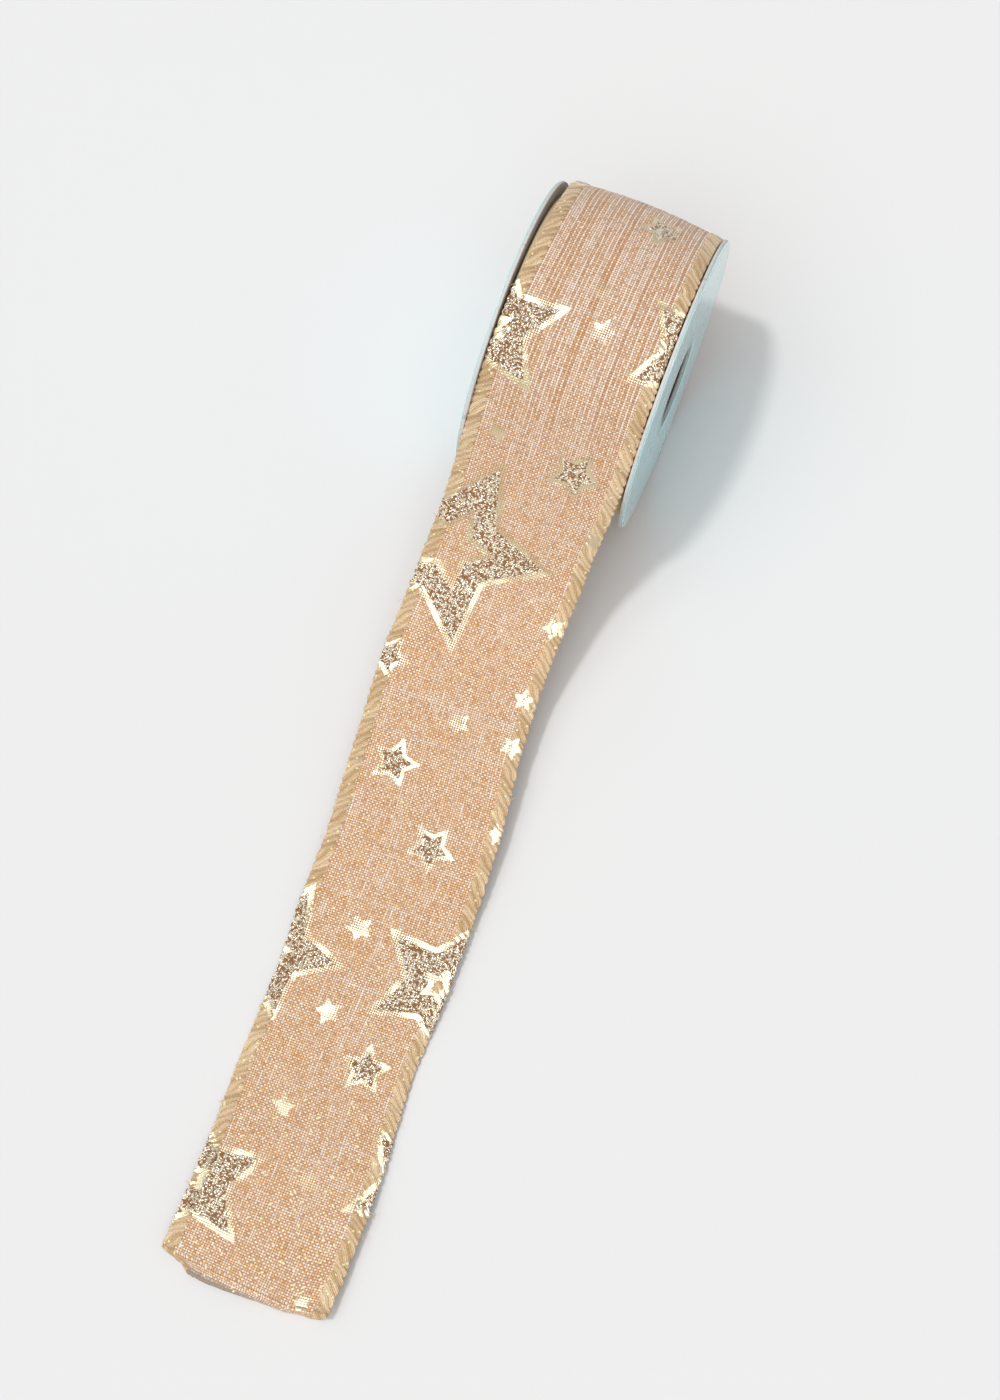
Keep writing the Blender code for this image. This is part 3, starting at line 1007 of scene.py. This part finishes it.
def make_wound_edge(side_name, side, layers, finish):
    """One side's stitched edges, turn upon turn, each turn a rounded ridge."""
    angle = np.linspace(0, tau, 720, endpoint=False)
    top = WOUND_OUTER_R / MM
    inner, outer = WOUND_EDGE_INNER, WOUND_EDGE_OUTER
    # the outline of the stack, from its inner corner over the top and down its ridged side
    across = [inner] + list(np.linspace(inner, outer - 0.4, 6)) + [outer - 0.1]
    height = [WOUND_INNER_R / MM] + [top - 0.05] * 6 + [top - 0.25]
    ridge_at = [0.0] + [1.0] * 7
    per_layer = 4
    for k in range(layers * per_layer):
        phase = k / per_layer
        across.append(outer - 0.22 + 0.22 * abs(cos(pi * phase)))
        height.append(top - 0.45 - phase * LAYER)
        ridge_at.append(abs(cos(pi * phase)))
    across.append(outer - 0.3)
    height.append(WOUND_INNER_R / MM)
    ridge_at.append(0.0)
    across, height, ridge_at = map(np.array, (across, height, ridge_at))
    angle, across = np.meshgrid(angle, across, indexing="ij")
    height = height[None] + 0 * angle
    count = round(tau * top / STITCH)
    wrap = angle / tau * count + STITCH_SLANT * (across - inner) / (outer - inner)
    ridge = np.abs(np.cos(pi * wrap)) ** 0.6 * ridge_at[None]
    free = ease(height, WOUND_INNER_R / MM + 0.3, WOUND_INNER_R / MM + 1.0)
    lifted = height + 0.10 * (ridge - 0.8) * free
    points = round_axis(side * across * MM, lifted * MM, angle)
    if side > 0:
        points, wrap, ridge, across = (a[:, ::-1] for a in (points, wrap, ridge, across))
    points, wrap, ridge, across = (np.concatenate([a, a[:1]], 0) for a in (points, wrap, ridge, across))
    obj = grid_mesh(f"wound_ribbon_edge_{side_name}", points, finish, closed_round=True)
    s = np.concatenate([angle, angle[:1] + tau], 0) * top
    give_uv(obj, side * across, s)
    give_print(obj, 0 * across - 60, s)
    give(obj, "ridge", ridge)
    give(obj, "wrap", wrap)
    merge(obj)
    return obj


def merge(obj):
    """Welds points that fall together, and turns the faces outwards."""
    shape = bmesh.new()
    shape.from_mesh(obj.data)
    bmesh.ops.remove_doubles(shape, verts=shape.verts, dist=1e-6)
    bmesh.ops.recalc_face_normals(shape, faces=shape.faces)
    shape.to_mesh(obj.data)
    shape.free()


# ---------------------------------------------------------------- the card spool


def make_turned(name, outline, count, finish, wobble=None):
    """A ring round the spool's axis from its outline of (x, radius) in metres, closed on itself."""
    outline = np.array(outline)
    angle = np.linspace(0, tau, count, endpoint=False)
    grid = round_axis(outline[None, :, 0], outline[None, :, 1], angle[:, None])
    if wobble is not None:
        grid = grid + wobble(outline[None], angle[:, None])
    grid = np.concatenate([grid, grid[:1]], 0)
    obj = grid_mesh(name, grid, finish, closed_round=True)
    merge(obj)
    return obj


def rounded_ring(low, high, inner, outer, corner, cuts=8):
    """The outline of a flat ring, from x low to high, with its outer corners rounded."""
    turn = [radians(90 * k / 3) for k in range(4)]
    points = [(low, r) for r in np.linspace(inner, outer - corner, cuts)]
    points += [(low + corner * (1 - cos(t)), outer - corner * (1 - sin(t))) for t in turn[1:]]
    points += [(high - corner * (1 - sin(t)), outer - corner * (1 - cos(t))) for t in turn]
    points += [(high, r) for r in np.linspace(outer - corner, inner, cuts)[1:]]
    return points


def warp_of_board(outline, angle):
    """Card is never quite flat: a slow wave of a few hundredths of a millimetre at the rim."""
    radius = outline[..., 1]
    push = 0.00005 * (radius / FLANGE_R) ** 2 * np.sin(2 * angle + 0.6)
    worn = np.abs(wave(angle, (1, 0.37, 0), (0.7, 0.23, 1)))
    nick = -0.00006 * ease(radius, FLANGE_R - 0.0008, FLANGE_R) * worn
    return np.stack([push, -nick * np.sin(angle), nick * np.cos(angle)], -1)


def make_spool():
    board, facing, core = board_material(), facing_material(), core_material()
    for side_name, side in (("left", -1), ("right", 1)):
        near, far = FLANGE_INNER, FLANGE_INNER + FLANGE_T
        low, high = sorted((side * near, side * far))
        outline = rounded_ring(low, high, HOLE_R, FLANGE_R, 0.00018)
        disc = make_turned(f"flange_{side_name}", outline, 288, board, warp_of_board)
        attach(disc, "spool")
        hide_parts(f"flange_board_{side_name}")
        low, high = sorted((side * (far + 0.00001), side * (far + 0.00022)))
        outline = rounded_ring(low, high, HOLE_R, FLANGE_R - 0.0002, 0.00008)
        paper = make_turned(f"facing_{side_name}", outline, 288, facing, warp_of_board)
        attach(paper, "spool")
        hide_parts(f"flange_facing_{side_name}")
    reach = FLANGE_INNER - 0.0002
    length = np.linspace(-reach, reach, 60)
    outline = [(x, CORE_R + CORE_WALL) for x in length[::-1]] + [(x, CORE_R) for x in length]
    tube = make_turned("core", outline[::-1], 144, core, seam_of_core)
    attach(tube, "spool")
    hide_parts("core_tube")


def seam_of_core(outline, angle):
    """The groove where the card strip of the core meets itself, winding along the tube."""
    x = outline[..., 0]
    turns = (x / 0.016 + angle / tau) % 1.0
    groove = -0.00025 * np.exp(-(((turns - 0.5) / 0.03) ** 2)) * (outline[..., 1] > CORE_R + 0.0005)
    groove = groove + 0.00020 * np.exp(-(((turns - 0.2) / 0.03) ** 2)) * (outline[..., 1] < CORE_R + 0.0005)
    return np.stack([0 * groove, -groove * np.sin(angle), groove * np.cos(angle)], -1)


# ---------------------------------------------------------------- loose threads


def make_threads():
    """Ends of thread that stand out of the edges, each a short curl."""
    finish = thread_material()
    # (body, (s, u, how far it reaches out, how far it leans along) in mm)
    threads = (
        ("ribbon", (-24, -19.3, 1.2, 0.8)),
        ("ribbon", (8, -19.5, 1.0, 1.5)),
        ("ribbon", (38, -19.6, 1.3, -0.8)),
        ("ribbon", (47, 19.6, 1.1, 0.9)),
        ("ribbon", (60, -19.6, 1.4, 1.0)),
        ("tail_middle", (97, 19.7, 1.3, -0.9)),
        ("tail_middle", (118, -19.7, 1.1, 1.2)),
        ("tail_middle", (128, 19.7, 1.5, 0.6)),
        ("tail_tip", (176, 19.6, 1.2, 1.0)),
        ("tail_tip", (185, -19.6, 1.0, 0.7)),
        ("tail_tip", (197, 19.6, 2.0, 1.6)),
        ("tail_tip", (202, 19.6, 1.3, 2.2)),
        ("tail_tip", (206, -19.6, 1.0, -0.8)),
    )
    for body in ("ribbon", "tail_middle", "tail_tip"):
        data = bpy.data.curves.new(f"loose_threads_{body}", "CURVE")
        data.dimensions = "3D"
        data.bevel_depth = 0.00007
        data.bevel_resolution = 2
        data.use_fill_caps = True
        for owner, (s, u, reach, lean) in threads:
            if owner != body:
                continue
            t = np.linspace(0, 1, 9)
            side = 1 if u > 0 else -1
            along = s + lean * t**2 + 0.25 * np.sin(tau * t)
            out = u - side * 0.5 + side * (reach + 0.5) * t
            lift = 0.1 + 0.5 * t * (1 - t) + 0.15 * np.sin(7 * t)
            spline = data.splines.new("POLY")
            spline.points.add(len(t) - 1)
            for point, where in zip(spline.points, place(along * MM, out * MM, lift * MM)):
                point.co = (*where, 1)
        data.materials.append(finish)
        obj = bpy.data.objects.new(f"loose_threads_{body}", data)
        bpy.context.scene.collection.objects.link(obj)
        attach(obj, body)


# ---------------------------------------------------------------- the rest


def finish_hidden_nodes():
    """Finishes for the glue and the tape inside the spool."""
    glue, tape = glue_material(), tape_material()
    for name, finish in (("glue_ring_left", glue), ("glue_ring_right", glue), ("start_tape", tape)):
        node = frame["nodes"][name]
        for slot in node.material_slots:
            slot.link = "OBJECT"
            slot.material = finish


def make_floor():
    half = 3.0
    points = np.array([[(x, y, -0.00002) for y in (-half, half)] for x in (-half, half)])
    floor = grid_mesh("floor", points[:, ::-1], floor_material())
    floor.data.flip_normals()


bpy.context.scene.view_settings.view_transform = "Standard"
make_camera()
make_lights()
make_floor()
make_ribbon(cloth_material(), stitch_material())
# the turns on the core have the frame's own plain finishes
make_wound(bpy.data.materials["woven_cloth"], bpy.data.materials["stitched_edge"])
make_spool()
make_threads()
finish_hidden_nodes()
